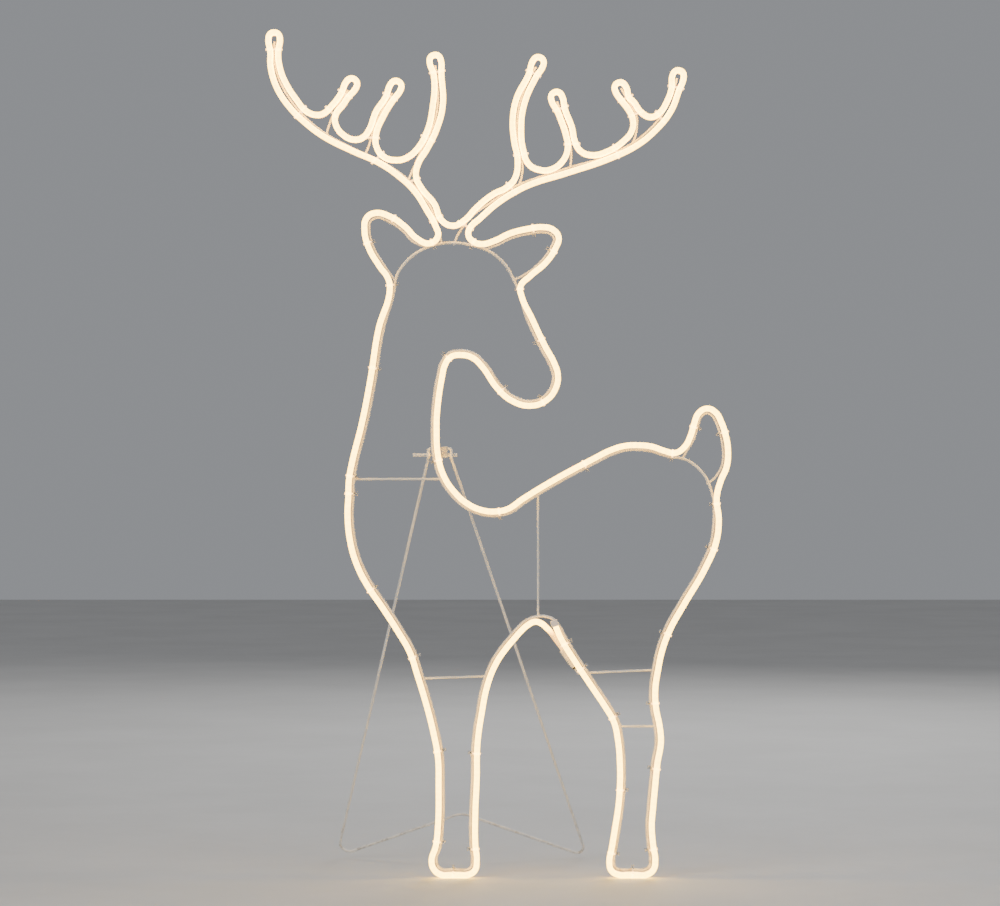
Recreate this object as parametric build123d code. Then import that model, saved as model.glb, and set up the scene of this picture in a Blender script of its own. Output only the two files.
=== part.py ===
"""Light up yard reindeer: one LED neon flex tied to a flat wire frame that stands on a fold-out wire leg.

Millimetres, +Z up, the deer's outline in a plane across X, its lit side facing -Y. The route of the flex
and the wires is laid out in the outline's plane with depth 0 at the back of the flex and depth growing
backwards. PANEL_Y then puts that plane where the origin is the bottom centre of the whole object.
"""
from build123d import *
from math import asin, cos, hypot, radians, sin
import os

os.makedirs("parts", exist_ok=True)

# ---- driving dimensions -------------------------------------------------------------------------------
PANEL_Y = -108.5      # where the back of the flex lies, in the object's own frame

FLEX_W = 8.0          # width of the flex, seen from the front
FLEX_D = 14.0         # depth of the flex
SLOT_W = 5.2          # channel in the back of the jacket
SLOT_D = 8.0
STRIP_W = 5.0         # the LED strip lies at the bottom of the channel
STRIP_D = 1.6
FILL_W = 5.0          # backing that closes the channel

WIRE = 4.0            # frame wire diameter
BRACE = 3.0           # brace wire diameter
WIRE_Y = 3.0          # depth of the frame wires' centre
INSET = 6.5           # frame wire centre, inwards from the flex's centre line

BAR = 5.0             # crossbar that the stand turns on
BAR_Y = 7.3
BAR_Z = 599.0
STAND = 4.0           # stand wire diameter

# ---- the route of the flex: points on its centre line (x, z) -------------------------------------------
HIND_LEG_FRONT = [(79, 364), (89, 340), (111, 304), (135, 268), (153, 241), (164, 222), (170, 196),
                  (173, 159), (173, 132), (171, 103), (166, 70), (161, 40)]
HIND_HOOF = [(158, 23), (161, 10), (173, 4), (183, 4), (197, 4), (209, 4), (220, 11), (223, 25)]
HIND_LEG_REAR = [(220, 46), (218, 74), (220, 100), (223, 132), (226, 162), (231, 193), (229, 216),
                 (224, 241), (223, 267), (227, 295), (233, 323), (244, 352), (263, 386), (294, 439),
                 (309, 475), (313, 507), (310, 538)]
TAIL = [(316, 563), (324, 582), (326, 606), (323, 626), (316, 647), (309, 659), (297, 665), (285, 659),
        (278, 643), (273, 626), (264, 610), (251, 602)]
BACK = [(236, 605), (218, 611), (199, 613), (180, 612), (160, 606), (136, 594), (80, 564), (34, 536),
        (15, 523), (-3, 519), (-23, 521), (-43, 530), (-61, 546), (-77, 570), (-85, 599), (-87, 635)]
HEAD = [(-86, 662), (-79, 711), (-75, 727), (-67, 738), (-52, 741), (-36, 737), (-22, 724), (-1, 694),
        (20, 676), (46, 669), (69, 677), (82, 694), (85, 712), (80, 729), (67, 753), (48, 793), (34, 823)]
EAR_RIGHT = [(32, 838), (46, 853), (68, 872), (82, 893), (86, 908), (77, 919), (63, 922), (45, 920),
             (17, 913), (-4, 903), (-24, 898), (-37, 903), (-42, 912)]
EAR_LEFT = [(-85, 909), (-97, 899), (-115, 906), (-132, 923), (-153, 937), (-174, 942), (-186, 935),
            (-189, 918), (-183, 893), (-168, 867), (-156, 850)]
NECK = [(-153, 836), (-169, 778), (-181, 704), (-193, 643), (-207, 587), (-211, 564), (-212, 538),
        (-213, 514), (-209, 475), (-200, 444), (-186, 416), (-163, 382), (-141, 348), (-125, 320)]
FRONT_LEG_FRONT = [(-114, 287), (-101, 244), (-91, 204), (-85, 171), (-84, 132), (-85, 72), (-88, 45)]
FRONT_HOOF = [(-94, 24), (-90, 11), (-79, 4), (-68, 4), (-55, 4), (-44, 4), (-33, 10), (-30, 24)]
FRONT_LEG_REAR = [(-32, 47), (-32, 94), (-30, 139), (-29, 189), (-23, 233), (-14, 276), (-2, 305),
                  (10, 323), (25, 341)]
ARCH = [(33, 350), (42, 358), (53, 363), (64, 359)]


def tine(tip_x, tip_z, lean):
    """Points round one antler tine: up its right side, round the loop at its tip and down its left side.
    The tip is the outermost point of the flex, and the loop is pinched a little below it."""
    across = (cos(radians(lean)), -sin(radians(lean)))
    along = (sin(radians(lean)), cos(radians(lean)))
    loop = [(5.6, -31), (8.2, -14), (5.9, -6.4), (0, -4), (-5.9, -6.4), (-8.2, -14), (-5.6, -31)]
    return [(tip_x + u * across[0] + v * along[0], tip_z + u * across[1] + v * along[1]) for u, v in loop]


TINES = {"antler_right": [(258, 1148, 12), (168, 1130, -26), (79, 1117, -20), (62, 1166, 24)],
         "antler_left": [(-91, 1170, -10), (-139, 1132, 28), (-201, 1135, 32), (-317, 1202, 0)]}
ANTLER_RIGHT = ([(-38, 923), (-27, 933), (-2, 955), (26, 973), (47, 983), (95, 998), (160, 1020),
                 (197, 1038), (222, 1058), (245, 1086)]
                + tine(*TINES["antler_right"][0]) + [(239, 1099), (229, 1084), (217, 1078), (204, 1084), (191, 1101)]
                + tine(*TINES["antler_right"][1]) + [(184, 1090), (191, 1076), (190, 1059), (177, 1043), (157, 1030), (133, 1024),
                                          (117, 1030), (109, 1044), (105, 1063)]
                + tine(*TINES["antler_right"][2]) + [(90, 1072), (96, 1054), (99, 1034), (92, 1016), (76, 1004),
                                         (60, 1003), (44, 1011), (36, 1031), (33, 1059), (37, 1095)]
                + tine(*TINES["antler_right"][3]) + [(27, 1106), (21, 1075), (23, 1044), (28, 1017), (24, 991),
                                        (12, 978), (-6, 969), (-31, 949)])
CROWN = [(-47, 932), (-63, 924), (-79, 931)]
ANTLER_LEFT = ([(-90, 955), (-108, 977), (-116, 994), (-113, 1012), (-101, 1032), (-86, 1063), (-78, 1096)]
               + tine(*TINES["antler_left"][0]) + [(-93, 1088), (-101, 1056), (-115, 1032), (-130, 1020),
                                         (-144, 1017), (-162, 1022), (-172, 1036), (-173, 1052),
                                         (-162, 1080)]
               + tine(*TINES["antler_left"][1]) + [(-173, 1085), (-182, 1061), (-190, 1050), (-202, 1046),
                                         (-218, 1052), (-230, 1068), (-230, 1081), (-219, 1096)]
               + tine(*TINES["antler_left"][2]) + [(-238, 1091), (-247, 1083), (-257, 1081), (-271, 1086),
                                         (-285, 1102), (-301, 1127), (-309, 1148)]
               + tine(*TINES["antler_left"][3]) + [(-322, 1149), (-313, 1119), (-296, 1093), (-273, 1070),
                                        (-246, 1050), (-206, 1030), (-168, 1013), (-140, 994),
                                        (-118, 973), (-100, 945), (-89, 925)])

ROUTE = [("hind_leg_front", HIND_LEG_FRONT), ("hind_hoof", HIND_HOOF), ("hind_leg_rear", HIND_LEG_REAR),
         ("tail", TAIL), ("back", BACK), ("head", HEAD), ("ear_right", EAR_RIGHT),
         ("antler_right", ANTLER_RIGHT), ("crown", CROWN), ("antler_left", ANTLER_LEFT),
         ("ear_left", EAR_LEFT), ("neck", NECK), ("front_leg_front", FRONT_LEG_FRONT),
         ("front_hoof", FRONT_HOOF), ("front_leg_rear", FRONT_LEG_REAR), ("arch", ARCH)]


# ---- smooth lines through points ------------------------------------------------------------------------
def minus(a, b):
    return (a[0] - b[0], a[1] - b[1])


def dot(a, b):
    return a[0] * b[0] + a[1] * b[1]


def unit(a):
    return (a[0] / hypot(*a), a[1] / hypot(*a))


def left_of(a):
    return (-a[1], a[0])


def beside(point, normal, side):
    return (point[0] + side * normal[0], point[1] + side * normal[1])


def directions(points):
    """The heading at each point: that of the circle through it and its two neighbours."""
    inner = []
    for before, here, after in zip(points, points[1:], points[2:]):
        u, v = minus(here, before), minus(after, here)
        lu, lv = hypot(*u), hypot(*v)
        inner.append(unit((u[0] * lv / lu + v[0] * lu / lv, u[1] * lv / lu + v[1] * lu / lv)))
    first, last = unit(minus(points[1], points[0])), unit(minus(points[-1], points[-2]))
    start = minus((2 * dot(first, inner[0]) * first[0], 2 * dot(first, inner[0]) * first[1]), inner[0])
    end = minus((2 * dot(last, inner[-1]) * last[0], 2 * dot(last, inner[-1]) * last[1]), inner[-1])
    return [start] + inner + [end]


class Bend:
    """One arc, or straight run, from a point with a heading to the next point. A left turn has radius > 0."""

    def __init__(self, start, heading, end):
        self.start, self.end = start, end
        chord = minus(end, start)
        across = dot(chord, left_of(heading))
        along = unit(chord)
        self.leaving = minus((2 * dot(along, heading) * along[0], 2 * dot(along, heading) * along[1]), heading)
        self.sides = [left_of(heading), left_of(along), left_of(self.leaving)]
        self.radius = dot(chord, chord) / (2 * across) if abs(across) > 0.001 else None
        half = ((start[0] + end[0]) / 2, (start[1] + end[1]) / 2)
        self.length = hypot(*chord)
        self.middle = half
        if self.radius:
            rise = abs(self.radius) - (self.radius ** 2 - dot(chord, chord) / 4) ** 0.5
            self.middle = beside(half, left_of(along), -rise if self.radius > 0 else rise)
            self.length = 2 * abs(self.radius) * asin(self.length / 2 / abs(self.radius))


def bends(points):
    """Pairs of tangent arcs that pass through all the points."""
    heads = directions(points)
    line = []
    for a, b, ta, tb in zip(points, points[1:], heads, heads[1:]):
        v, t = minus(b, a), (ta[0] + tb[0], ta[1] + tb[1])
        spread = 2 * (1 - dot(ta, tb))
        if spread < 1e-9:
            reach = dot(v, v) / (4 * dot(v, tb))
        else:
            reach = (-dot(v, t) + (dot(v, t) ** 2 + spread * dot(v, v)) ** 0.5) / spread
        knee = ((a[0] + b[0] + reach * (ta[0] - tb[0])) / 2, (a[1] + b[1] + reach * (ta[1] - tb[1])) / 2)
        first = Bend(a, ta, knee)
        line += [first, Bend(knee, first.leaving, b)]
    return line


# ---- solids ---------------------------------------------------------------------------------------------
def at(point, depth):
    return Vector(point[0], depth, point[1])


def rail(bend, side, depth):
    """One bend moved sideways, as an edge at a depth."""
    places = zip((bend.start, bend.middle, bend.end), bend.sides)
    first, middle, last = [at(beside(point, normal, side), depth) for point, normal in places]
    return ThreePointArc(first, middle, last) if bend.radius else Line(first, last)


def band(line, left, right, front, back):
    """A solid that follows a line, from one side distance to the other and from front to back."""
    ends = [(line[0].start, line[0].sides[0]), (line[-1].end, line[-1].sides[2])]
    caps = [Line(at(beside(p, n, left), front), at(beside(p, n, right), front)) for p, n in ends]
    rails = [rail(bend, side, front) for side in (left, right) for bend in line]
    return extrude(Face(Wire(rails + caps)), amount=back - front, dir=(0, 1, 0))


def rod(path, diameter):
    """Round wire along a path of edges."""
    start = Plane(origin=path @ 0, z_dir=path % 0)
    return sweep(start * Circle(diameter / 2), path=path)


def wire(line, diameter=WIRE, depth=WIRE_Y):
    return rod(Wire([rail(bend, 0, depth) for bend in line]), diameter)


def inner(points, distance=INSET):
    """The points moved to the inner side of the outline, which is on the left all along the route."""
    return [beside(p, left_of(h), distance) for p, h in zip(points, directions(points))]


made = {}


def keep(name, shape):
    """Writes one node, moved from the outline's plane to its place in the object."""
    made[name] = shape
    export_step(Pos(0, PANEL_Y, 0) * shape, f"parts/{name}.step")


# ---- the flex: jacket runs, LED strip and backing ---------------------------------------------------------
route = [point for _, points in ROUTE for point in points]
whole = bends(route)
runs, first = {}, 0
for name, points in ROUTE:
    last = min(first + len(points), len(route) - 1)
    runs[name] = whole[2 * first:2 * last]
    first += len(points)

# the last stretch swings back out of the outline's plane and comes to lie behind the first run
TAIL_DEPTH = 9
away, onward = whole[-1].leaving, unit((0.6, -0.8))
TAIL_BEHIND = (82, 338)
tail_points = [at(whole[-1].end, -FLEX_D / 2), at(beside(whole[-1].end, away, 8), -FLEX_D / 2),
               at(beside(TAIL_BEHIND, onward, -12), TAIL_DEPTH), at(TAIL_BEHIND, TAIL_DEPTH),
               at(beside(TAIL_BEHIND, onward, 30), TAIL_DEPTH)]
tail_path = Wire([Bezier(*tail_points[:4]), Line(*tail_points[3:])])
tail_start = Plane(origin=tail_path @ 0, x_dir=(0, 1, 0), z_dir=tail_path % 0)


def tail_run(front, back, width):
    """A stretch of the flex's section along the tail end, from front to back of its depth."""
    middle = FLEX_D / 2 + (front + back) / 2
    return sweep(tail_start * (Pos(middle, 0) * Rectangle(back - front, width)), path=tail_path)


for name, line in runs.items():
    outer = band(line, FLEX_W / 2, -FLEX_W / 2, -FLEX_D, 0)
    slot = band(line, SLOT_W / 2, -SLOT_W / 2, -SLOT_D, 0)
    keep("flex_" + name, outer - slot)

strip = band(whole, STRIP_W / 2, -STRIP_W / 2, -SLOT_D, STRIP_D - SLOT_D)
backing = band(whole, FILL_W / 2, -FILL_W / 2, STRIP_D - SLOT_D, 0)
tail_slot = tail_run(-SLOT_D, 0, SLOT_W)
tail_strip = tail_run(-SLOT_D, STRIP_D - SLOT_D, STRIP_W)
tail_backing = tail_run(STRIP_D - SLOT_D, 0, FILL_W)
tail_outer = tail_run(-FLEX_D, 0, FLEX_W)
keep("flex_tail_end", tail_outer - tail_slot)
keep("led_strip", Compound(children=[strip, tail_strip]))
keep("flex_backing", Compound(children=[backing, tail_backing]))
print("flex length", round(sum(bend.length for bend in whole) + tail_path.length))

# ---- end cap and power inlet ------------------------------------------------------------------------------
CAP_WALL = 0.9        # silicone cap on the blind end
CAP_GRIP = 8.0        # how far it covers the flex
start = whole[0]
heading = (-start.sides[0][1], start.sides[0][0])
heading = minus((0, 0), heading) if dot(heading, minus(start.end, start.start)) < 0 else heading
cap_plane = Plane(origin=at(start.start, -FLEX_D / 2), x_dir=(0, 1, 0),
                  z_dir=(heading[0], 0, heading[1]))
cap = cap_plane * Pos(0, 0, (CAP_GRIP - CAP_WALL) / 2) * Box(FLEX_D + 2 * CAP_WALL, FLEX_W + 2 * CAP_WALL,
                                                            CAP_GRIP + CAP_WALL)
cap = fillet(cap.edges(), 0.8)
cap_line = bends(route[:3])
keep("flex_end_cap", cap - band(cap_line, FLEX_W / 2, -FLEX_W / 2, -FLEX_D, 0))

INLET_R = 5.5         # spigot that a lead's plug slides over
INLET_LENGTH = 12.0
INLET_BODY = (16.0, 13.0, 30.0)
inlet_plane = Plane(origin=tail_path @ 1, x_dir=(0, 1, 0), z_dir=tail_path % 1)
inlet_grip = 12.0
body = Pos(0, 0, INLET_BODY[2] / 2 - inlet_grip) * Box(*INLET_BODY)
body = fillet(body.edges(), 2)
spigot_base = INLET_BODY[2] - inlet_grip
body += Pos(0, 0, spigot_base - 1) * extrude(Circle(INLET_R), INLET_LENGTH + 1)
body -= Pos(0, 0, spigot_base + 3) * extrude(Circle(4.1), INLET_LENGTH)
PIN_R, PIN_SPACING = 0.8, 3.6
pins = [Pos(side * PIN_SPACING / 2, 0, spigot_base) * extrude(Circle(PIN_R), INLET_LENGTH - 2)
        for side in (-1, 1)]
for pin in pins:
    body -= pin
keep("power_inlet", inlet_plane * body - tail_outer)
keep("inlet_pins", Compound(children=[inlet_plane * pin for pin in pins]))
seal = Pos(0, 0, spigot_base) * (extrude(Circle(INLET_R + 1.0), 2) - extrude(Circle(INLET_R), 2))
keep("inlet_seal", inlet_plane * seal)

# ---- the wire frame ---------------------------------------------------------------------------------------
RUMP = [(304, 545), (292, 572), (272, 590)]
DOME = [(24, 845), (9, 871), (-14, 889), (-42, 898), (-75, 900), (-107, 891), (-131, 873), (-145, 849)]
ARCH_WIRE = [(53, 369.5), (68, 370), (80, 365), (89, 354)]
lower_leg = inner(route)
named, first = {}, 0
for name, points in ROUTE:
    named[name] = lower_leg[first:first + len(points)]
    first += len(points)

FRAME = [("hind_leg_wire", named["hind_leg_front"][1:] + named["hind_hoof"] + named["hind_leg_rear"][:-1] + RUMP),
         ("back_wire", named["back"]),
         ("head_wire", named["head"][:-1] + DOME),
         ("neck_wire", named["neck"]),
         ("front_leg_wire", named["front_leg_front"] + named["front_hoof"] + named["front_leg_rear"]
          + named["arch"][:2] + ARCH_WIRE)]
ring = [point for _, points in FRAME for point in points]
ring_line = bends([ring[-1]] + ring + ring[:2])[2:-2]
wire_lines = [(bend, WIRE) for bend in ring_line]
frame, first = {}, 0
for name, points in FRAME:
    frame[name] = wire(ring_line[2 * first:2 * (first + len(points))])
    first += len(points)
for name, shape in frame.items():
    keep(name, shape)
outline = [frame[name] for name in frame]


def trimmed(shape, others):
    """A wire cut to length where it meets the wires that it is welded to."""
    for other in others:
        shape = shape - other
    return max(shape.solids(), key=lambda solid: solid.volume)


head, rump, back = frame["head_wire"], frame["hind_leg_wire"], frame["back_wire"]
ear_right = [(22, 848)] + named["ear_right"][1:11] + [(-33, 896)]
ear_left = [(-98, 895)] + named["ear_left"][2:-1] + [(-146, 847)]
tail = [(298, 559)] + named["tail"][1:-1] + [(262, 594)]
for points in (ear_right, ear_left, tail):
    wire_lines += [(bend, BRACE) for bend in bends(points)]
keep("ear_wire_right", trimmed(wire(bends(ear_right), BRACE), [head]))
keep("ear_wire_left", trimmed(wire(bends(ear_left), BRACE), [head]))
keep("tail_wire", trimmed(wire(bends(tail), BRACE), [rump, back]))

SPINE_RIGHT = [(-62, 899), (-55, 915), (-40, 935), (-4, 962), (19, 978), (48, 990), (94, 1005), (158, 1025),
               (200, 1048), (232, 1081), (246, 1107), (254, 1134)]
SPINE_LEFT = [(-80, 900), (-83, 914), (-89, 935), (-96, 952), (-113, 975), (-131, 993), (-155, 1010),
              (-172, 1019), (-209, 1036), (-250, 1059), (-278, 1083), (-299, 1110), (-314, 1142), (-317, 1186)]
BRANCHES_RIGHT = [[(192, 1043), (197, 1062), (197, 1080), (187, 1098), (175, 1120)],
                  [(103, 1009), (104, 1026), (101, 1052), (93, 1075), (84, 1101)],
                  [(30, 983), (35, 1008), (30, 1032), (27, 1064), (31, 1098), (43, 1130), (54, 1150)]]
BRANCHES_LEFT = [[(-127, 990), (-118, 1011), (-108, 1033), (-94, 1060), (-86, 1092), (-86, 1125), (-89, 1152)],
                 [(-188, 1027), (-182, 1042), (-178, 1058), (-168, 1082), (-150, 1113)],
                 [(-243, 1056), (-238, 1072), (-229, 1092), (-213, 1117)]]
for side, spine_points, branch_points in (("right", SPINE_RIGHT, BRANCHES_RIGHT),
                                          ("left", SPINE_LEFT, BRANCHES_LEFT)):
    for points in [spine_points] + branch_points:
        wire_lines += [(bend, BRACE) for bend in bends(points)]
    spine = trimmed(wire(bends(spine_points), BRACE), [head])
    keep("antler_spine_" + side, spine)
    branches = [trimmed(wire(bends(points), BRACE), [spine]) for points in branch_points]
    keep("antler_branches_" + side, Compound(children=branches))


def brace(ends, touching):
    return trimmed(rod(Line(at(ends[0], WIRE_Y), at(ends[1], WIRE_Y)), BRACE), [frame[n] for n in touching])


BRACES = [("neck_brace", [(-206, 565), (-79, 565)], ["neck_wire", "back_wire"]),
          ("belly_brace", [(57, 545), (57, 370)], ["back_wire", "front_leg_wire"]),
          ("front_leg_brace", [(-107, 282), (-20, 285)], ["front_leg_wire"]),
          ("thigh_brace", [(125.5, 290), (221, 294)], ["hind_leg_wire"]),
          ("shin_brace", [(170, 214), (223, 214)], ["hind_leg_wire"])]
for name, ends, touching in BRACES:
    keep(name, brace(ends, touching))

# ---- the stand --------------------------------------------------------------------------------------------
BAR_ENDS = (-121, -58)
LEGS_X = (-99, -66)          # where the legs hang on the crossbar
FEET_X = (-240, 132)
EYE_R = BAR / 2 + 0.08       # the eyes run on the crossbar with this radius
EYE_T = 4.4                  # the eye's wire is swollen by the weld
EYE_LINE = EYE_R + EYE_T / 2
TOP_ROD = 9.0                # above the crossbar; it bears on the back wire when the stand is open
LEAN = 20.6                  # degrees from vertical
LEG = 637.8                  # from the crossbar's axis to the foot, along the lean
bar = Plane.YZ.offset(BAR_ENDS[0]) * Pos(BAR_Y, BAR_Z) * extrude(Circle(BAR / 2), BAR_ENDS[1] - BAR_ENDS[0])
keep("crossbar", bar - back)


def stand_point(x, down):
    return Vector(x, BAR_Y + down * sin(radians(LEAN)), BAR_Z - down * cos(radians(LEAN)))


feet = [stand_point(LEGS_X[0], EYE_LINE), stand_point(FEET_X[0], LEG), stand_point(sum(FEET_X) / 2, LEG - 72),
        stand_point(FEET_X[1], LEG), stand_point(LEGS_X[1], EYE_LINE)]
legs = rod(FilletPolyline(*feet, radius=[14, 30, 9]), STAND)
rod_y = WIRE_Y + WIRE / 2 + STAND / 2 + 0.05
top = [Vector(LEGS_X[0], BAR_Y, BAR_Z + EYE_LINE), Vector(LEGS_X[0], rod_y, BAR_Z + TOP_ROD),
       Vector(LEGS_X[1], rod_y, BAR_Z + TOP_ROD), Vector(LEGS_X[1], BAR_Y, BAR_Z + EYE_LINE)]
top_rod = rod(FilletPolyline(*top, radius=3), STAND)
eyes = [revolve(Plane(origin=(x, BAR_Y, BAR_Z + EYE_LINE), x_dir=(1, 0, 0), z_dir=(0, 1, 0)) * Circle(EYE_T / 2),
                axis=Axis((x, BAR_Y, BAR_Z), (1, 0, 0))) for x in LEGS_X]
keep("stand_legs", legs - eyes[0] - eyes[1])
keep("stand_hinge", eyes[0] + top_rod + eyes[1])

CLIP_X, CLIP_W, CLIP_T = -80, 8, 1.2
swing = Plane.YZ.offset(CLIP_X)
outline_clip = make_hull([*(Pos(BAR_Y, BAR_Z) * Circle(EYE_R + CLIP_T)).edges(),
                          *(Pos(rod_y, BAR_Z + TOP_ROD) * Circle(STAND / 2 + CLIP_T)).edges()])
clip = swing * extrude(outline_clip, CLIP_W)
bore = swing * Pos(BAR_Y, BAR_Z) * extrude(Circle(EYE_R), CLIP_W)
keep("hinge_clip", clip - bore - top_rod)

# ---- cable ties -------------------------------------------------------------------------------------------
TIE_W, TIE_T, TIE_SLACK = 2.5, 1.1, 0.3
HEAD = (5.0, 4.2, 4.6)       # the ratchet head: along the strap's edge, out from it, along the route


def tie(flex_half, wire_side, wire_r, behind=False):
    """A closed cable tie round the flex (or two runs of it) and the wire behind it, along local Z."""
    around = make_hull([*(Pos(0, -FLEX_D / 2) * Rectangle(2 * flex_half, FLEX_D)).edges(),
                        *(Pos(wire_side, WIRE_Y) * Circle(wire_r)).edges()])
    strap = extrude(offset(around, TIE_SLACK + TIE_T) - offset(around, TIE_SLACK), TIE_W / 2, both=True)
    if behind:
        back = WIRE_Y + wire_r + TIE_SLACK
        latch = Pos(wire_side, back + HEAD[1] / 2) * Box(HEAD[0], HEAD[1], HEAD[2])
        stub = Pos(wire_side - HEAD[0] / 2 - 1.5, back + HEAD[1] / 2 + 0.4) * Box(3.4, TIE_T, TIE_W)
    else:
        edge = max(wire_side + wire_r, flex_half) + TIE_SLACK
        latch = Pos(edge + HEAD[1] / 2, 1) * Box(HEAD[1], HEAD[0], HEAD[2])
        stub = Pos(edge + HEAD[1] / 2 + 0.4, 1 - HEAD[0] / 2 - 1.5) * Box(TIE_T, 3.4, TIE_W)
    return strap + (latch - extrude(offset(around, TIE_SLACK), HEAD[2], both=True)) + stub


def seat(point, side, heading):
    """Plane across a run: X to the side, Y to the back, Z along the run."""
    return Plane(origin=at(point, 0), x_dir=(side[0], 0, side[1]), z_dir=(-heading[0], 0, -heading[1]))


TIES = [(-151, 929), (-177, 901), (-145, 840), (-89, 891), (-34, 894), (50, 916), (74, 892), (26, 834),
        (55, 758), (57, 678), (6, 698), (-73, 738), (-171, 704), (-210, 567), (-208, 541), (-175, 420),
        (-113, 312), (-80, 183), (-82, 47), (-36, 39), (-36, 176), (-92, 587), (2, 512),
        (131, 582), (249, 598), (283, 636), (316, 626), (302, 536), (299, 459), (234, 354), (218, 248),
        (214, 161), (207, 45), (162, 39), (176, 120), (172, 226), (96, 329), (119, 291),
        (-277, 1085), (-235, 1086), (-177, 1052), (-165, 1018), (-98, 1051), (-121, 986), (-83, 929),
        (31, 1027), (105, 1036), (22, 980), (160, 1022), (196, 1079), (232, 1077), (-44, 925)]
HOOF_TIES = [(191, 4), (-63, 4)]        # these bite into the flex, so that the hooves stand flat
NEAR = 17                               # two runs closer than this are tied together
BITE = 1.5


def seated(spot):
    """The tie for a spot: the nearest place on the route, the wire beside it and any second run close by."""
    bend = min(whole, key=lambda b: hypot(*minus(b.middle, spot)))
    here, side = bend.middle, bend.sides[1]
    forward = (side[1], -side[0])
    place = whole.index(bend)
    others = [b for i, b in enumerate(whole) if abs(i - place) > 9]
    other = min(others, key=lambda b: hypot(*minus(b.middle, here)))
    wires = [(dot(minus(b.middle, here), side), abs(dot(minus(b.middle, here), forward)), d)
             for b, d in wire_lines if hypot(*minus(b.middle, here)) < 16]
    offset_w, _, diameter = min(wires, key=lambda w: w[1]) if wires else (0, 0, BRACE)
    if hypot(*minus(other.middle, here)) < NEAR:
        apart = dot(minus(other.middle, here), side)
        centre = beside(here, side, apart / 2)
        return seat(centre, side, forward) * tie(abs(apart) / 2 + FLEX_W / 2 + 0.4, offset_w - apart / 2,
                                                 diameter / 2 + 0.4, behind=True)
    high = here[1] > 925
    if offset_w < 0:
        side, forward, offset_w = (-side[0], -side[1]), (-forward[0], -forward[1]), -offset_w
    return seat(here, side, forward) * tie(FLEX_W / 2, offset_w, diameter / 2, behind=high)


ties = [seated(spot) for spot in TIES]
for name in ("antler_right", "antler_left"):
    for tip_x, tip_z, lean in TINES[name]:
        up = (sin(radians(lean)), cos(radians(lean)))
        low = (tip_x - 29 * up[0], tip_z - 29 * up[1])
        ties.append(seat(low, (-up[1], up[0]), up) * tie(10.4, 0, 4.5, behind=True))
sunk = tie(FLEX_W / 2 - BITE, INSET, WIRE / 2)
hoof_ties = [seat(spot, (0, 1), (1, 0)) * sunk for spot in HOOF_TIES]
for name, strap in zip(("flex_hind_hoof", "flex_front_hoof"), hoof_ties):
    keep(name, made[name] - strap)


def apart_from(strap, others):
    """The strap, cut back where it would pass through a wire or another run of the flex."""
    box = strap.bounding_box()
    for shape, low, high in others:
        if all(low[i] < tuple(box.max)[i] and tuple(box.min)[i] < high[i] for i in range(3)):
            common = strap & shape
            if common and common.volume > 0.02:
                cut = [solid for solid in (strap - shape).solids() if solid.volume > 3]
                print("  strap cut back by", round(common.volume, 1), "into", len(cut))
                strap = Compound(children=cut)
    return strap


others = []
for shape in made.values():
    others += [(solid, tuple(solid.bounding_box().min), tuple(solid.bounding_box().max))
               for solid in shape.solids()]
ties = [apart_from(strap, others) for strap in ties + hoof_ties]
keep("cable_ties", Compound(children=[solid for strap in ties for solid in strap.solids()]))
print("cable ties", len(ties))
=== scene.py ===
# %% [markdown]
# # Light up yard reindeer
#
# A flat deer drawn with one length of warm white neon flex. The flex is tied to a frame of white coated
# wire, and a folding wire stand props it from behind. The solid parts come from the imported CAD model;
# this script gives every part its finish and rebuilds the flex, whose soft domed section is easier to
# sweep here than to cut in CAD. Everything is in metres, +Z up, with the lit side facing -Y.

# %% Load the CAD frame and keep its box
from math import cos, pi, radians, sin

import bmesh
import bpy
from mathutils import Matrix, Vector


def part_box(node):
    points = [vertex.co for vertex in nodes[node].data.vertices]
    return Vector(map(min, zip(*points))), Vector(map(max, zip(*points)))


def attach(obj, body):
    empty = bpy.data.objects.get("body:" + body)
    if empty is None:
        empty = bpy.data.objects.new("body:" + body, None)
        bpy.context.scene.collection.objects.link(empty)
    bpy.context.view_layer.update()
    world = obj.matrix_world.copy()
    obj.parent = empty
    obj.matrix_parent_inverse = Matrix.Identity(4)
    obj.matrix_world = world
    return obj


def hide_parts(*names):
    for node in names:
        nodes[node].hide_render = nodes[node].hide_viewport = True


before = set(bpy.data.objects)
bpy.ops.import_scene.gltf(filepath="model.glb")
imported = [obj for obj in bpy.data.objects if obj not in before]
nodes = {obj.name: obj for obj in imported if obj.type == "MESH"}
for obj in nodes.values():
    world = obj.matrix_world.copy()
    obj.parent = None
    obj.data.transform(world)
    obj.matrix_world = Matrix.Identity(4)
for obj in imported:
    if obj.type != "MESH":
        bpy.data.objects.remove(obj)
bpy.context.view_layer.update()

MM = 0.001
PANEL_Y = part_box("flex_back")[1][1]      # the plane of the flex's back, where the wires begin
print("the back of the flex lies at y =", round(PANEL_Y, 4))

# %% [markdown]
# ## Materials
#
# All finishes are procedural and read object coordinates, so a pattern stays where it is on the piece.
# A small function makes the parts that most of them share: a base colour that varies a little, a
# roughness that varies a little, and a fine bump. Each call then says only what is particular.


# %% Shared steps for every finish
def new_material(name):
    material = bpy.data.materials.new(name)
    material.use_nodes = True
    tree = material.node_tree
    return material, tree, tree.nodes["Principled BSDF"]


def add(tree, kind, inputs=(), **settings):
    """A node with its settings and plain input values; a value that is a socket is linked."""
    node = tree.nodes.new(kind)
    for key, value in settings.items():
        setattr(node, key, value)
    for key, value in dict(inputs).items():
        if isinstance(value, bpy.types.NodeSocket):
            tree.links.new(value, node.inputs[key])
        else:
            node.inputs[key].default_value = value
    return node


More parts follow.
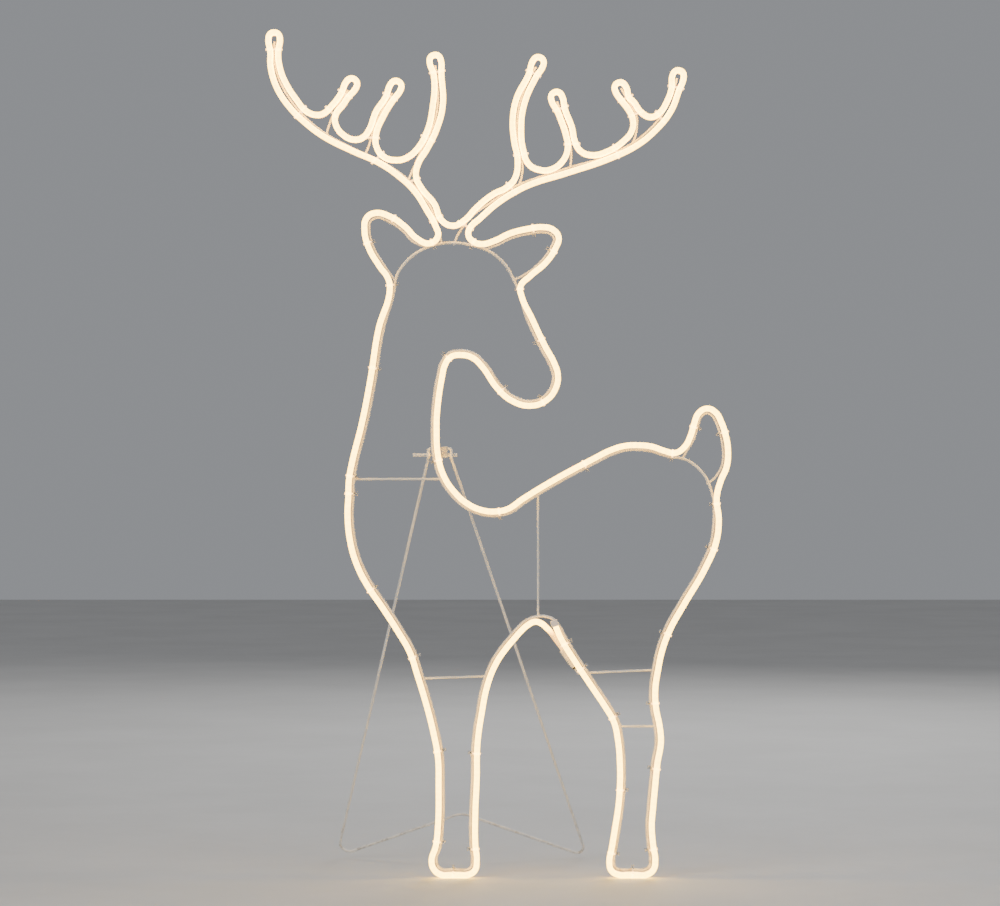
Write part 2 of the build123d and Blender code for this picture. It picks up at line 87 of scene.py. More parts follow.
def along_axis(tree, axis):
    """One of the object's own coordinates, in metres."""
    place = add(tree, "ShaderNodeTexCoord")
    return add(tree, "ShaderNodeSeparateXYZ", {"Vector": place.outputs["Object"]}).outputs[axis]


def times(tree, first, second):
    return add(tree, "ShaderNodeMath", {0: first, 1: second}, operation="MULTIPLY").outputs[0]


def glowing(shader, colour, strength):
    shader.inputs["Emission Color"].default_value = (*colour, 1.0)
    shader.inputs["Emission Strength"].default_value = strength


def noise(tree, scale, detail=3.0, roughness=0.55):
    place = add(tree, "ShaderNodeTexCoord")
    made = add(tree, "ShaderNodeTexNoise", {"Vector": place.outputs["Object"], "Scale": scale,
                                            "Detail": detail, "Roughness": roughness})
    return made.outputs["Fac"]


def spread(tree, value, low, high, start=0.0, end=1.0):
    made = add(tree, "ShaderNodeMapRange", {"Value": value, "From Min": start, "From Max": end,
                                            "To Min": low, "To Max": high})
    return made.outputs["Result"]


def mixed(tree, factor, first, second):
    made = add(tree, "ShaderNodeMix", data_type="RGBA")
    tree.links.new(factor, made.inputs["Factor"])
    for socket, value in ((made.inputs[6], first), (made.inputs[7], second)):
        if isinstance(value, bpy.types.NodeSocket):
            tree.links.new(value, socket)
        else:
            socket.default_value = (*value, 1.0)
    return made.outputs[2]


def bumped(tree, shader, height, distance, strength=1.0):
    bump = add(tree, "ShaderNodeBump", {"Height": height, "Distance": distance, "Strength": strength})
    tree.links.new(bump.outputs["Normal"], shader.inputs["Normal"])


def coated(name, light, dark, rough, patch, grain, depth, metallic=0.0):
    """A finish with soft patches between two colours, a varying roughness and a fine bumpy grain."""
    material, tree, shader = new_material(name)
    colour = mixed(tree, spread(tree, noise(tree, patch), 0, 1, 0.35, 0.65), light, dark)
    tree.links.new(colour, shader.inputs["Base Color"])
    uneven = spread(tree, noise(tree, grain * 0.4), rough - 0.08, rough + 0.1)
    tree.links.new(uneven, shader.inputs["Roughness"])
    bumped(tree, shader, noise(tree, grain), depth)
    shader.inputs["Metallic"].default_value = metallic
    return material, tree, shader


# %% [markdown]
# ### White coated wire
#
# Powder coat is sprayed on dry and melted, so it has a fine orange peel, a soft shine and pale tint.
# Outdoors it picks up a little dust and, low down, splashed earth. Height above the ground is read from
# the object's own Z, so the legs and hooves are dirtier than the antlers.

# %% Wire finish
SPLASH_TOP = 0.10                        # metres; earth splashes no higher
EARTH = (0.20, 0.15, 0.10)
wire_paint, tree, shader = coated("wire_paint", (0.83, 0.81, 0.76), (0.74, 0.72, 0.67), 0.38, 60, 900,
                                  0.00004)
low_down = spread(tree, along_axis(tree, "Z"), 0.55, 0.0, 0.0, SPLASH_TOP)
speckle = spread(tree, noise(tree, 140, 6), 0.0, 1.0, 0.47, 0.6)
clean = shader.inputs["Base Color"].links[0].from_socket
soiled = mixed(tree, times(tree, low_down, speckle), clean, EARTH)
tree.links.new(soiled, shader.inputs["Base Color"])
shader.inputs["Coat Weight"].default_value = 0.25
shader.inputs["Coat Roughness"].default_value = 0.3

# %% [markdown]
# ### Lit neon flex
#
# The LEDs inside shine forward through a milky dome, so the front of the jacket glows almost white and
# the sides fall off to a deeper, warmer tone towards the back. That fall is a gradient of the object's Y.
# A named attribute holds the distance along the flex in metres; a faint ripple of it, one beat for each
# LED, keeps the glow from being perfectly even, as it never is.

# %% Flex finish
LED_PITCH = 8.33 * MM
GLOW = 13.0
FADE_DEPTH = 11.5 * MM                   # from the back of the flex to where the glow is full
flex_glow, tree, shader = new_material("flex_glow")
to_back = spread(tree, along_axis(tree, "Y"), 0.0, 1.0, PANEL_Y - FADE_DEPTH, PANEL_Y)
run = add(tree, "ShaderNodeAttribute", attribute_name="along").outputs["Fac"]
wave = add(tree, "ShaderNodeMath", {0: times(tree, run, 2 * pi / LED_PITCH)}, operation="SINE")
ripple = spread(tree, wave.outputs[0], 0.94, 1.06, -1.0, 1.0)
cloud = spread(tree, noise(tree, 45, 2), 0.93, 1.07)
fall = spread(tree, to_back, 1.0, 0.16)
power = times(tree, times(tree, times(tree, ripple, fall), cloud), GLOW)
tree.links.new(power, shader.inputs["Emission Strength"])
tree.links.new(mixed(tree, to_back, (1.0, 0.60, 0.05), (1.0, 0.46, 0.04)), shader.inputs["Emission Color"])
tree.links.new(mixed(tree, to_back, (0.95, 0.86, 0.70), (0.88, 0.76, 0.56)), shader.inputs["Base Color"])
tree.links.new(spread(tree, noise(tree, 500), 0.38, 0.52), shader.inputs["Roughness"])
bumped(tree, shader, noise(tree, 700), 0.00006)
shader.inputs["Subsurface Weight"].default_value = 0.3
shader.inputs["Subsurface Scale"].default_value = 0.003

# %% [markdown]
# ### Small parts
#
# The backing that closes the channel is opaque white silicone, so no light passes to the rear. The strip
# under it, seen only at a cut end, is a white circuit film with a faint painted glow. The ties are clear
# nylon, with a painted glow where a strap crosses the lit face. The inlet is a hard moulding with a soft
# black seal and brass contacts. The blind cap is thin silicone with a dim painted glow.

# %% Finishes of the small parts
backing, _, _ = coated("flex_backing", (0.86, 0.84, 0.80), (0.78, 0.76, 0.71), 0.55, 35, 600, 0.0001)
strip, _, shader = coated("led_strip", (0.90, 0.88, 0.80), (0.84, 0.80, 0.70), 0.35, 80, 700, 0.00005)
# painted glow: the circuit film is given the light of its own LEDs
glowing(shader, (1.0, 0.74, 0.42), 1.0)
phosphor, _, shader = coated("led_phosphor", (1.0, 0.78, 0.28), (0.98, 0.70, 0.20), 0.3, 900, 2000, 0.00002)
glowing(shader, (1.0, 0.80, 0.50), 6.0)
nylon, tree, shader = coated("clear_nylon", (0.96, 0.94, 0.90), (0.90, 0.88, 0.83), 0.2, 200, 1200, 0.00003)
# painted glow on the clear ties, strongest where they cross the lit front of the flex
tie_painted_glow = spread(tree, along_axis(tree, "Y"), 2.6, 0.0, PANEL_Y - 15 * MM, PANEL_Y - 6 * MM)
glowing(shader, (1.0, 0.52, 0.12), 0.0)
tree.links.new(tie_painted_glow, shader.inputs["Emission Strength"])
shader.inputs["Transmission Weight"].default_value = 0.9
shader.inputs["IOR"].default_value = 1.53
silicone, _, shader = coated("cap_silicone", (0.88, 0.84, 0.76), (0.80, 0.75, 0.66), 0.5, 90, 900, 0.0001)
# painted glow: the blind cap is lit dimly as if by the flex behind it
glowing(shader, (1.0, 0.45, 0.14), 0.35)
moulding, _, _ = coated("inlet_plastic", (0.80, 0.78, 0.73), (0.70, 0.68, 0.62), 0.42, 120, 1500, 0.0001)
seal_rubber, _, _ = coated("seal_rubber", (0.035, 0.034, 0.033), (0.02, 0.02, 0.02), 0.6, 160, 1600, 0.0001)
brass, _, _ = coated("brass", (0.80, 0.58, 0.26), (0.68, 0.47, 0.20), 0.25, 300, 2400, 0.00003, metallic=1.0)
clip_coat, _, shader = coated("clip_coat", (0.72, 0.71, 0.68), (0.60, 0.59, 0.56), 0.35, 150, 1300, 0.0001,
                              metallic=0.35)

# %% Give the CAD nodes their finishes
FINISH = {"flex_end_cap": silicone, "power_inlet": moulding, "inlet_seal": seal_rubber, "inlet_pins": brass,
          "led_strip": strip, "flex_backing": backing, "cable_ties": nylon, "hinge_clip": clip_coat}
RUNS = [name for name in nodes if name.startswith("flex_") and name not in FINISH]
WIRES = [name for name in nodes if name not in FINISH and name not in RUNS]
FINISH.update({name: flex_glow for name in RUNS})
FINISH.update({name: wire_paint for name in WIRES})
for name, material in FINISH.items():
    mesh = nodes[name].data
    mesh.materials.clear()
    mesh.materials.append(material)
print(len(FINISH), "of", len(nodes), "nodes have a finish; left over:", set(nodes) - set(FINISH))

# %% [markdown]
# ## The flex
#
# The outline is drawn as one curve through points on the flex's centre line, in order from the blind end
# at the belly, down and round each hoof, up over the tail, the back and the muzzle, round the ears and
# antlers and down the neck. Automatic handles make it turn as smoothly as bent flex does. Each antler tine
# is the same small loop, so a function turns it to the tine's lean.


# %% Points of the route (x, z), in metres
def tine(tip_x, tip_z, lean):
    """Up one side of a tine, round the loop at its tip and down the other side."""
    loop = [(5.6, -31), (8.2, -14), (5.9, -6.4), (0, -4), (-5.9, -6.4), (-8.2, -14), (-5.6, -31)]
    turn = radians(lean)
    return [(tip_x + (u * cos(turn) + v * sin(turn)) * MM, tip_z + (v * cos(turn) - u * sin(turn)) * MM)
            for u, v in loop]


HIND_LEG_FRONT = [(0.079, 0.364), (0.089, 0.340), (0.111, 0.304), (0.135, 0.268), (0.153, 0.241),
                  (0.164, 0.222), (0.170, 0.196), (0.173, 0.159), (0.173, 0.132), (0.171, 0.103),
                  (0.166, 0.070), (0.161, 0.040)]
HIND_HOOF = [(0.158, 0.023), (0.161, 0.010), (0.173, 0.004), (0.183, 0.004), (0.197, 0.004),
             (0.209, 0.004), (0.220, 0.011), (0.223, 0.025)]
HIND_LEG_REAR = [(0.220, 0.046), (0.218, 0.074), (0.220, 0.100), (0.223, 0.132), (0.226, 0.162),
                 (0.231, 0.193), (0.229, 0.216), (0.224, 0.241), (0.223, 0.267), (0.227, 0.295),
                 (0.233, 0.323), (0.244, 0.352), (0.263, 0.386), (0.294, 0.439), (0.309, 0.475),
                 (0.313, 0.507), (0.310, 0.538)]
TAIL = [(0.316, 0.563), (0.324, 0.582), (0.326, 0.606), (0.323, 0.626), (0.316, 0.647), (0.309, 0.659),
        (0.297, 0.665), (0.285, 0.659), (0.278, 0.643), (0.273, 0.626), (0.264, 0.610), (0.251, 0.602)]
BACK = [(0.236, 0.605), (0.218, 0.611), (0.199, 0.613), (0.180, 0.612), (0.160, 0.606), (0.136, 0.594),
        (0.080, 0.564), (0.034, 0.536), (0.015, 0.523), (-0.003, 0.519), (-0.023, 0.521), (-0.043, 0.530),
        (-0.061, 0.546), (-0.077, 0.570), (-0.085, 0.599), (-0.087, 0.635)]
HEAD = [(-0.086, 0.662), (-0.079, 0.711), (-0.075, 0.727), (-0.067, 0.738), (-0.052, 0.741),
        (-0.036, 0.737), (-0.022, 0.724), (-0.001, 0.694), (0.020, 0.676), (0.046, 0.669), (0.069, 0.677),
        (0.082, 0.694), (0.085, 0.712), (0.080, 0.729), (0.067, 0.753), (0.048, 0.793), (0.034, 0.823)]
EAR_RIGHT = [(0.032, 0.838), (0.046, 0.853), (0.068, 0.872), (0.082, 0.893), (0.086, 0.908),
             (0.077, 0.919), (0.063, 0.922), (0.045, 0.920), (0.017, 0.913), (-0.004, 0.903),
             (-0.024, 0.898), (-0.037, 0.903), (-0.042, 0.912)]
ANTLER_RIGHT = [(-0.038, 0.923), (-0.027, 0.933), (-0.002, 0.955), (0.026, 0.973), (0.047, 0.983),
                (0.095, 0.998), (0.160, 1.020), (0.197, 1.038), (0.222, 1.058), (0.245, 1.086),
                *tine(0.258, 1.148, 12), (0.239, 1.099), (0.229, 1.084), (0.217, 1.078), (0.204, 1.084),
                (0.191, 1.101), *tine(0.168, 1.130, -26), (0.184, 1.090), (0.191, 1.076), (0.190, 1.059),
                (0.177, 1.043), (0.157, 1.030), (0.133, 1.024), (0.117, 1.030), (0.109, 1.044),
                (0.105, 1.063), *tine(0.079, 1.117, -20), (0.090, 1.072), (0.096, 1.054), (0.099, 1.034),
                (0.092, 1.016), (0.076, 1.004), (0.060, 1.003), (0.044, 1.011), (0.036, 1.031),
                (0.033, 1.059), (0.037, 1.095), *tine(0.062, 1.166, 24), (0.027, 1.106), (0.021, 1.075),
                (0.023, 1.044), (0.028, 1.017), (0.024, 0.991), (0.012, 0.978), (-0.006, 0.969),
                (-0.031, 0.949)]
CROWN = [(-0.047, 0.932), (-0.063, 0.924), (-0.079, 0.931)]
ANTLER_LEFT = [(-0.090, 0.955), (-0.108, 0.977), (-0.116, 0.994), (-0.113, 1.012), (-0.101, 1.032),
               (-0.086, 1.063), (-0.078, 1.096), *tine(-0.091, 1.170, -10), (-0.093, 1.088),
               (-0.101, 1.056), (-0.115, 1.032), (-0.130, 1.020), (-0.144, 1.017), (-0.162, 1.022),
               (-0.172, 1.036), (-0.173, 1.052), (-0.162, 1.080), *tine(-0.139, 1.132, 28),
               (-0.173, 1.085), (-0.182, 1.061), (-0.190, 1.050), (-0.202, 1.046), (-0.218, 1.052),
               (-0.230, 1.068), (-0.230, 1.081), (-0.219, 1.096), *tine(-0.201, 1.135, 32),
               (-0.238, 1.091), (-0.247, 1.083), (-0.257, 1.081), (-0.271, 1.086), (-0.285, 1.102),
               (-0.301, 1.127), (-0.309, 1.148), *tine(-0.317, 1.202, 0), (-0.322, 1.149),
               (-0.313, 1.119), (-0.296, 1.093), (-0.273, 1.070), (-0.246, 1.050), (-0.206, 1.030),
               (-0.168, 1.013), (-0.140, 0.994), (-0.118, 0.973), (-0.100, 0.945), (-0.089, 0.925)]
EAR_LEFT = [(-0.085, 0.909), (-0.097, 0.899), (-0.115, 0.906), (-0.132, 0.923), (-0.153, 0.937),
            (-0.174, 0.942), (-0.186, 0.935), (-0.189, 0.918), (-0.183, 0.893), (-0.168, 0.867),
            (-0.156, 0.850)]
NECK = [(-0.153, 0.836), (-0.169, 0.778), (-0.181, 0.704), (-0.193, 0.643), (-0.207, 0.587),
        (-0.211, 0.564), (-0.212, 0.538), (-0.213, 0.514), (-0.209, 0.475), (-0.200, 0.444),
        (-0.186, 0.416), (-0.163, 0.382), (-0.141, 0.348), (-0.125, 0.320)]
FRONT_LEG_FRONT = [(-0.114, 0.287), (-0.101, 0.244), (-0.091, 0.204), (-0.085, 0.171), (-0.084, 0.132),
                   (-0.085, 0.072), (-0.088, 0.045)]
FRONT_HOOF = [(-0.094, 0.024), (-0.090, 0.011), (-0.079, 0.004), (-0.068, 0.004), (-0.055, 0.004),
              (-0.044, 0.004), (-0.033, 0.010), (-0.030, 0.024)]
FRONT_LEG_REAR = [(-0.032, 0.047), (-0.032, 0.094), (-0.030, 0.139), (-0.029, 0.189), (-0.023, 0.233),
                  (-0.014, 0.276), (-0.002, 0.305), (0.010, 0.323), (0.025, 0.341)]
ARCH = [(0.033, 0.350), (0.042, 0.358), (0.053, 0.363), (0.064, 0.359)]

ROUTE = (HIND_LEG_FRONT + HIND_HOOF + HIND_LEG_REAR + TAIL + BACK + HEAD + EAR_RIGHT + ANTLER_RIGHT + CROWN
         + ANTLER_LEFT + EAR_LEFT + NECK + FRONT_LEG_FRONT + FRONT_HOOF + FRONT_LEG_REAR + ARCH)
TAIL_END = [(0.0683, 0.3548, -0.0045), (0.0727, 0.3504, 0.001), (0.0771, 0.3447, 0.0065),
            (0.082, 0.338, 0.009), (0.100, 0.314, 0.009)]       # (x, z, depth of the section's middle)
print(len(ROUTE), "points on the route and", len(TAIL_END), "on its tail end")

# %% [markdown]
# The section is a channel with a domed front: half an ellipse on straight sides, with small rounded lips
# at the back where the backing sits. Geometry Nodes sweep it along the curve. The curve is flat, so it is
# drawn in the XY plane, where the Z-up normal keeps the section square to the plane, and the finished
# sweep is turned up into the XZ plane inside the tree. A height above the drawing plane then becomes a step
# to the front. The last points drop below it: there the flex swings back, behind its own first run, to
# reach the power inlet.

# %% Curves for the route and the section
def curve_object(name, points, closed=False, kind="BEZIER"):
    curve = bpy.data.curves.new(name, "CURVE")
    curve.dimensions = "3D"
    spline = curve.splines.new(kind)
    if kind == "BEZIER":
        spline.bezier_points.add(len(points) - 1)
        for knot, point in zip(spline.bezier_points, points):
            knot.co = point
            knot.handle_left_type = knot.handle_right_type = "AUTO"
    else:
        spline.points.add(len(points) - 1)
        for knot, point in zip(spline.points, points):
            knot.co = (*point, 1.0)
    spline.use_cyclic_u = closed
    made = bpy.data.objects.new(name, curve)
    bpy.context.scene.collection.objects.link(made)
    return made


HALF, DEPTH, DOME, CHANNEL, CHANNEL_DEPTH = 4.0, 14.0, 4.8, 2.6, 8.0       # millimetres
DOME_STEPS = 12
lip = [(CHANNEL, 0), (3.3, 0), (3.8, -0.25), (HALF, -0.8), (HALF, -3)]
shoulder = DOME - DEPTH
dome = [(HALF * cos(pi * i / DOME_STEPS), shoulder - DOME * sin(pi * i / DOME_STEPS))
        for i in range(DOME_STEPS + 1)]
other_lip = [(-x, y) for x, y in reversed(lip)]
section = lip + dome + other_lip + [(-CHANNEL, -CHANNEL_DEPTH), (CHANNEL, -CHANNEL_DEPTH)]
section = [(x * MM, (y + DEPTH / 2) * MM, 0.0) for x, y in section]
route_points = [(x, z, DEPTH / 2 * MM) for x, z in ROUTE] + [(x, z, -depth) for x, z, depth in TAIL_END]
route_curve = curve_object("route", route_points)
section_curve = curve_object("section", section, closed=True, kind="POLY")
print("section", len(section), "points")


# %% Small helpers for Geometry Nodes trees
def new_tree(name, **inputs):
    """A tree with a geometry output and named inputs; each input is (socket type, value)."""
    tree = bpy.data.node_groups.new(name, "GeometryNodeTree")
    tree.interface.new_socket("Geometry", in_out="OUTPUT", socket_type="NodeSocketGeometry")
    for key, (kind, _) in inputs.items():
        tree.interface.new_socket(key, in_out="INPUT", socket_type="NodeSocket" + kind)
    return tree, tree.nodes.new("NodeGroupInput"), tree.nodes.new("NodeGroupOutput")


def stood_up(tree, geometry, depth):
    """Turns what was made flat up into the deer's plane, and takes it back to its depth."""
    turned = add(tree, "GeometryNodeTransform", {"Geometry": geometry, "Rotation": (pi / 2, 0, 0)})
    shift = add(tree, "ShaderNodeCombineXYZ", {"Y": depth})
    return add(tree, "GeometryNodeTransform", {"Geometry": turned.outputs[0],
                                               "Translation": shift.outputs[0]}).outputs[0]


def cloud_object(name, points):
    """A helper object that only holds places, for a tree to put instances on."""
    mesh = bpy.data.meshes.new(name)
    mesh.from_pydata(points, [], [])
    made = bpy.data.objects.new(name, mesh)
    bpy.context.scene.collection.objects.link(made)
    return made


def finish_tree(tree, exit_node, geometry, finish):
    """Ends a tree: instances become real geometry, which then takes its material."""
    real = add(tree, "GeometryNodeRealizeInstances", {"Geometry": geometry})
    painted = add(tree, "GeometryNodeSetMaterial", {"Geometry": real.outputs[0], "Material": finish})
    tree.links.new(painted.outputs[0], exit_node.inputs[0])


def evaluated(name, tree, inputs, body):
    """Runs a tree on an empty mesh and keeps the result as a plain mesh that rides on a body."""
    made = bpy.data.objects.new(name, bpy.data.meshes.new(name))
    bpy.context.scene.collection.objects.link(made)
    modifier = made.modifiers.new("build", "NODES")
    modifier.node_group = tree
    for item in tree.interface.items_tree:
        if item.in_out == "INPUT" and item.name in inputs:
            modifier[item.identifier] = inputs[item.name][1]
    depsgraph = bpy.context.evaluated_depsgraph_get()
    mesh = bpy.data.meshes.new_from_object(made.evaluated_get(depsgraph))
    made.modifiers.clear()
    made.data = mesh
    mesh.name = name
    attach(made, body)
    low = [min(v.co[i] for v in mesh.vertices) for i in range(3)]
    high = [max(v.co[i] for v in mesh.vertices) for i in range(3)]
    measured = bmesh.new()
    measured.from_mesh(mesh)
    print(name, len(mesh.polygons), "faces from", [round(v, 4) for v in low], "to",
          [round(v, 4) for v in high], "holding", round(measured.calc_volume(signed=True) * 1e9), "mm3, with",
          sum(not edge.is_manifold for edge in measured.edges), "open edges")
    measured.free()
    return made


# %% Sweep the jacket along the route
inputs = {"Route": ("Object", route_curve), "Section": ("Object", section_curve), "Step": ("Float", 2.4 * MM),
          "Depth": ("Float", PANEL_Y), "Finish": ("Material", flex_glow)}
tree, given, out = new_tree("flex_sweep", **inputs)
path = add(tree, "GeometryNodeObjectInfo", {"Object": given.outputs["Route"]})
shape = add(tree, "GeometryNodeObjectInfo", {"Object": given.outputs["Section"]})
even = add(tree, "GeometryNodeResampleCurve", {"Curve": path.outputs["Geometry"],
                                               "Length": given.outputs["Step"]}, mode="LENGTH")
along = add(tree, "GeometryNodeSplineParameter")
named = add(tree, "GeometryNodeStoreNamedAttribute", {"Geometry": even.outputs[0], "Name": "along",
                                                      "Value": along.outputs["Length"]}, domain="POINT")
upright = add(tree, "GeometryNodeSetCurveNormal", {"Curve": named.outputs[0]}, mode="Z_UP")
swept = add(tree, "GeometryNodeCurveToMesh", {"Curve": upright.outputs[0], "Fill Caps": True,
                                              "Profile Curve": shape.outputs["Geometry"]})
outward = add(tree, "GeometryNodeFlipFaces", {"Mesh": swept.outputs[0]})     # the sweep faces inwards
upright_jacket = stood_up(tree, outward.outputs[0], given.outputs["Depth"])
finish_tree(tree, out, upright_jacket, given.outputs["Finish"])
jacket = evaluated("flex_jacket", tree, inputs, "deer")
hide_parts(*RUNS)
print("the jacket stands for", len(RUNS), "CAD runs")

# %% [markdown]
# ## LED chips
#
# The strip carries one warm chip every 8.33 mm. They are instances of a small block with a yellow phosphor
# face, set along the same route just in front of the strip and turned to follow it. The tree works flat
# and turns its result up, so a lift along Z becomes a step towards the front.

# %% Instances along the route
CHIP = (3.5, 2.8, 0.7)                   # millimetres along, across and thick
chip_size = tuple(side * MM for side in CHIP)
lift_height = (CHANNEL_DEPTH + CHIP[2] / 2 - DEPTH / 2) * MM
inputs = {"Route": ("Object", route_curve), "Pitch": ("Float", LED_PITCH), "Size": ("Vector", chip_size),
          "Depth": ("Float", PANEL_Y), "Lift": ("Float", lift_height), "Finish": ("Material", phosphor)}
tree, given, out = new_tree("led_chips", **inputs)
path = add(tree, "GeometryNodeObjectInfo", {"Object": given.outputs["Route"]})
spots = add(tree, "GeometryNodeCurveToPoints", {"Curve": path.outputs["Geometry"],
                                                "Length": given.outputs["Pitch"]}, mode="LENGTH")
chip = add(tree, "GeometryNodeMeshCube", {"Size": given.outputs["Size"]})
number = add(tree, "GeometryNodeInputIndex")
after_first = add(tree, "FunctionNodeCompare", {2: number.outputs[0], 3: 0}, data_type="INT",
                  operation="GREATER_THAN")
euler = add(tree, "FunctionNodeAlignRotationToVector", {"Vector": spots.outputs["Tangent"]}, axis="X")
placed = add(tree, "GeometryNodeInstanceOnPoints", {
    "Points": spots.outputs["Points"], "Instance": chip.outputs["Mesh"],
    "Selection": after_first.outputs[0], "Rotation": euler.outputs[0]})
lift = add(tree, "ShaderNodeCombineXYZ", {"Z": given.outputs["Lift"]})
lifted = add(tree, "GeometryNodeTransform", {"Geometry": placed.outputs[0], "Translation": lift.outputs[0]})
upright_chips = stood_up(tree, lifted.outputs[0], given.outputs["Depth"])
finish_tree(tree, out, upright_chips, given.outputs["Finish"])
evaluated("led_chips", tree, inputs, "deer")
for helper in (route_curve, section_curve):
    bpy.data.objects.remove(helper)

# %% [markdown]
# ## Weld beads
#
# Wherever one wire ends on another there is a small bead of weld under the coat. Each is a ball a little
# wider than the thinner wire, dented by a noise so that no two are alike, instanced on a list of places.
# The ends of the straight braces are measured from their CAD boxes; the others are where the wires begin.

# %% Places of the beads (x, z)
WIRE_PLANE = PANEL_Y + 3 * MM
beads = [(0.192, 1.043), (0.103, 1.009), (0.030, 0.983), (-0.127, 0.990), (-0.188, 1.027), (-0.243, 1.056),
         (-0.062, 0.899), (-0.080, 0.900), (0.022, 0.848), (-0.033, 0.896), (-0.098, 0.895), (-0.146, 0.847),
         (0.298, 0.559), (0.262, 0.594)]
for name in nodes:
    if name.endswith("_brace"):
        low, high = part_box(name)
        if high[0] - low[0] > high[2] - low[2]:
            beads += [(low[0] - 0.001, low[2] + 0.0015), (high[0] + 0.001, high[2] - 0.0015)]
        else:
            beads += [((low[0] + high[0]) / 2, low[2] - 0.001), ((low[0] + high[0]) / 2, high[2] + 0.001)]
print(len(beads), "weld beads")

# %% Beads as instances
bead_places = cloud_object("bead_places", [(x, WIRE_PLANE, z) for x, z in beads])
inputs = {"Places": ("Object", bead_places), "Radius": ("Float", 2.6 * MM), "Dent": ("Float", 0.9 * MM),
          "Finish": ("Material", wire_paint)}
tree, given, out = new_tree("weld_beads", **inputs)
spots = add(tree, "GeometryNodeObjectInfo", {"Object": given.outputs["Places"]})
ball = add(tree, "GeometryNodeMeshIcoSphere", {"Radius": given.outputs["Radius"], "Subdivisions": 4})
set_out = add(tree, "GeometryNodeInstanceOnPoints", {"Points": spots.outputs["Geometry"],
                                                     "Instance": ball.outputs["Mesh"]})
real = add(tree, "GeometryNodeRealizeInstances", {"Geometry": set_out.outputs[0]})
rough = add(tree, "ShaderNodeTexNoise", {"Scale": 420.0, "Detail": 2.0})
dent = times(tree, times(tree, rough.outputs["Fac"], given.outputs["Dent"]), -1.0)
facing = add(tree, "GeometryNodeInputNormal")
push = add(tree, "ShaderNodeVectorMath", {0: facing.outputs[0], "Scale": dent}, operation="SCALE")
dented = add(tree, "GeometryNodeSetPosition", {"Geometry": real.outputs[0], "Offset": push.outputs[0]})
smooth = add(tree, "GeometryNodeSetShadeSmooth", {"Geometry": dented.outputs[0]})
finish_tree(tree, out, smooth.outputs[0], given.outputs["Finish"])
evaluated("weld_beads", tree, inputs, "deer")
bpy.data.objects.remove(bead_places)

# %% [markdown]
# ## Grip ribs on the inlet
#
# A wet plastic block is hard to hold while a lead is pushed on, so a moulding like this has ribs. Each rib
# is a rounded square ring, a little proud of the body. They are set on a line that starts at the middle
# of the contacts, taken from the CAD, and runs back along the way that the end of the flex goes.

# %% Ribs along the body of the inlet
pin_low, pin_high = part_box("inlet_pins")
pins_middle = (Vector(pin_low) + Vector(pin_high)) / 2
onward = Vector((0.6, 0.0, -0.8))        # the way the tail end of the flex runs
RIB_COUNT, RIB_GAP, RIB_WIRE = 5, 3.2 * MM, 0.8 * MM
TO_FIRST_RIB = 9 * MM                    # from the middle of the contacts, past the root of the spigot
first_rib = pins_middle - onward * TO_FIRST_RIB
rib_places = cloud_object("rib_places", [first_rib - onward * RIB_GAP * i for i in range(RIB_COUNT)])
inputs = {"Places": ("Object", rib_places), "Across": ("Float", 12.6 * MM), "Deep": ("Float", 15.6 * MM),
          "Wire": ("Float", RIB_WIRE), "Finish": ("Material", moulding)}
tree, given, out = new_tree("inlet_ribs", **inputs)
spots = add(tree, "GeometryNodeObjectInfo", {"Object": given.outputs["Places"]})
square = add(tree, "GeometryNodeCurvePrimitiveQuadrilateral", {"Width": given.outputs["Across"],
                                                               "Height": given.outputs["Deep"]})
rounded = add(tree, "GeometryNodeFilletCurve", {"Curve": square.outputs[0], "Radius": 2.0 * MM, "Count": 6},
              mode="POLY")
round_wire = add(tree, "GeometryNodeCurvePrimitiveCircle", {"Radius": given.outputs["Wire"],
                                                            "Resolution": 12})
ring = add(tree, "GeometryNodeCurveToMesh", {"Curve": rounded.outputs[0],
                                             "Profile Curve": round_wire.outputs[0]})
faced = add(tree, "FunctionNodeAlignRotationToVector", {"Vector": tuple(onward)}, axis="Z", pivot_axis="Y")
on_places = add(tree, "GeometryNodeInstanceOnPoints", {
    "Points": spots.outputs["Geometry"], "Instance": ring.outputs[0], "Rotation": faced.outputs[0]})
finish_tree(tree, out, on_places.outputs[0], given.outputs["Finish"])
evaluated("inlet_ribs", tree, inputs, "deer").data.shade_smooth()
bpy.data.objects.remove(rib_places)

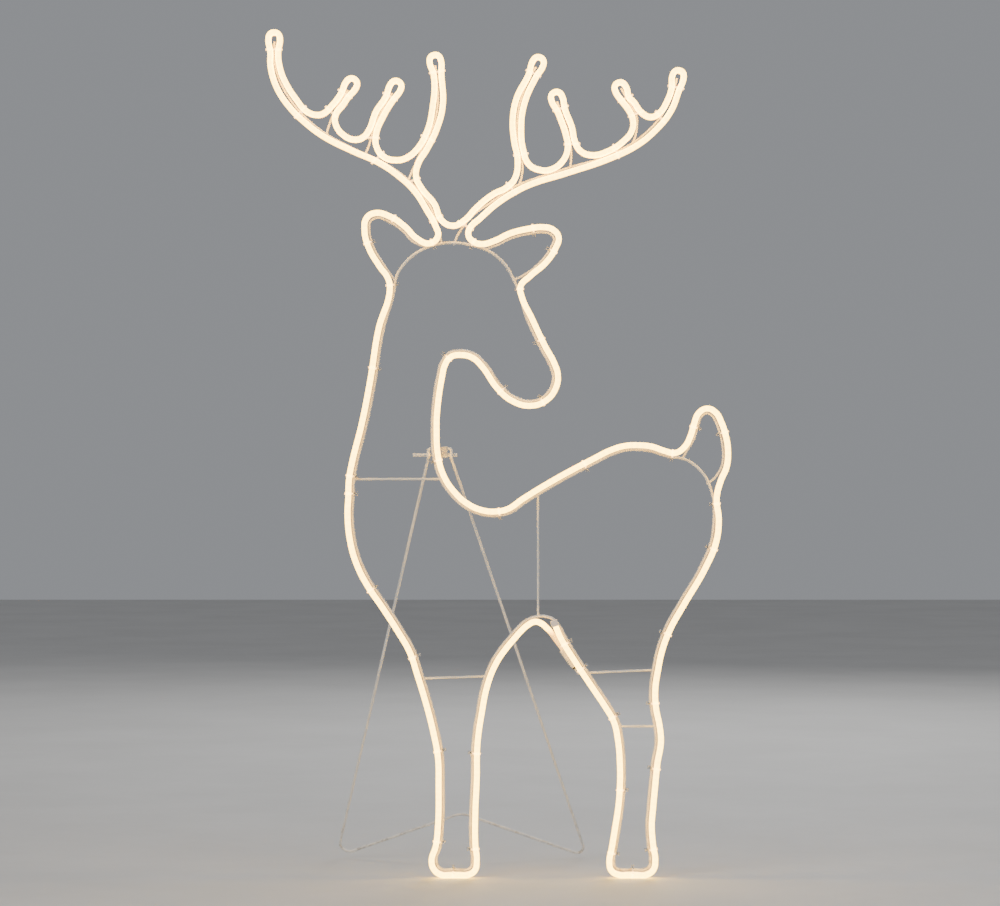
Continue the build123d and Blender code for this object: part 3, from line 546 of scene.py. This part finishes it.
# %% Smooth shading where the surfaces are round
for name in WIRES + ["hinge_clip", "power_inlet", "inlet_pins", "inlet_seal"]:
    mesh = nodes[name].data
    mesh.shade_smooth()
    mesh.set_sharp_from_angle(angle=radians(35))
jacket.data.shade_smooth()
jacket.data.set_sharp_from_angle(angle=radians(40))

# %% [markdown]
# ## Stage, light and camera
#
# A plain pale floor that doesn't outshine the flex, one large soft key from the left, a weaker fill from
# the right and a rim behind, then a camera level with the middle of the deer and far enough back that the
# outline isn't distorted.

# %% Stage
bpy.ops.mesh.primitive_plane_add(size=14, location=(0, 2, 0))
floor = bpy.context.object
floor.name = "floor"
floor_paint, _, _ = coated("floor_paint", (0.62, 0.61, 0.59), (0.58, 0.57, 0.55), 0.7, 3, 60, 0.0003)
floor.data.materials.append(floor_paint)


def area_light(name, place, aim, size, watts, colour):
    lamp = bpy.data.lights.new(name, "AREA")
    lamp.shape, lamp.size, lamp.energy, lamp.color = "DISK", size, watts, colour
    made = bpy.data.objects.new(name, lamp)
    made.location = place
    made.rotation_euler = (Vector(aim) - Vector(place)).to_track_quat("-Z", "Y").to_euler()
    bpy.context.scene.collection.objects.link(made)


area_light("key", (-2.6, -3.0, 3.0), (0, 0, 0.6), 2.0, 90, (1.0, 0.98, 0.95))
area_light("fill", (3.2, -2.4, 1.6), (0, 0, 0.6), 2.5, 35, (0.92, 0.96, 1.0))
area_light("rim", (0.8, 3.2, 2.6), (0, 0, 0.7), 1.6, 70, (1.0, 1.0, 1.0))
world = bpy.data.worlds.new("world")
world.use_nodes = True
world.node_tree.nodes["Background"].inputs["Color"].default_value = (0.62, 0.64, 0.68, 1)
world.node_tree.nodes["Background"].inputs["Strength"].default_value = 0.45
bpy.context.scene.world = world

# %% Camera
VIEW_WIDTH = 1.415                    # metres across the picture at the deer's plane
DISTANCE = 4.8
SENSOR = 36.0
camera_data = bpy.data.cameras.new("camera")
camera_data.sensor_width = SENSOR
camera_data.lens = SENSOR * DISTANCE / VIEW_WIDTH
camera = bpy.data.objects.new("camera", camera_data)
camera.location = (0.003, PANEL_Y - DEPTH * MM - DISTANCE, 0.602)
camera.rotation_euler = (pi / 2, 0, 0)
bpy.context.scene.collection.objects.link(camera)
bpy.context.scene.camera = camera
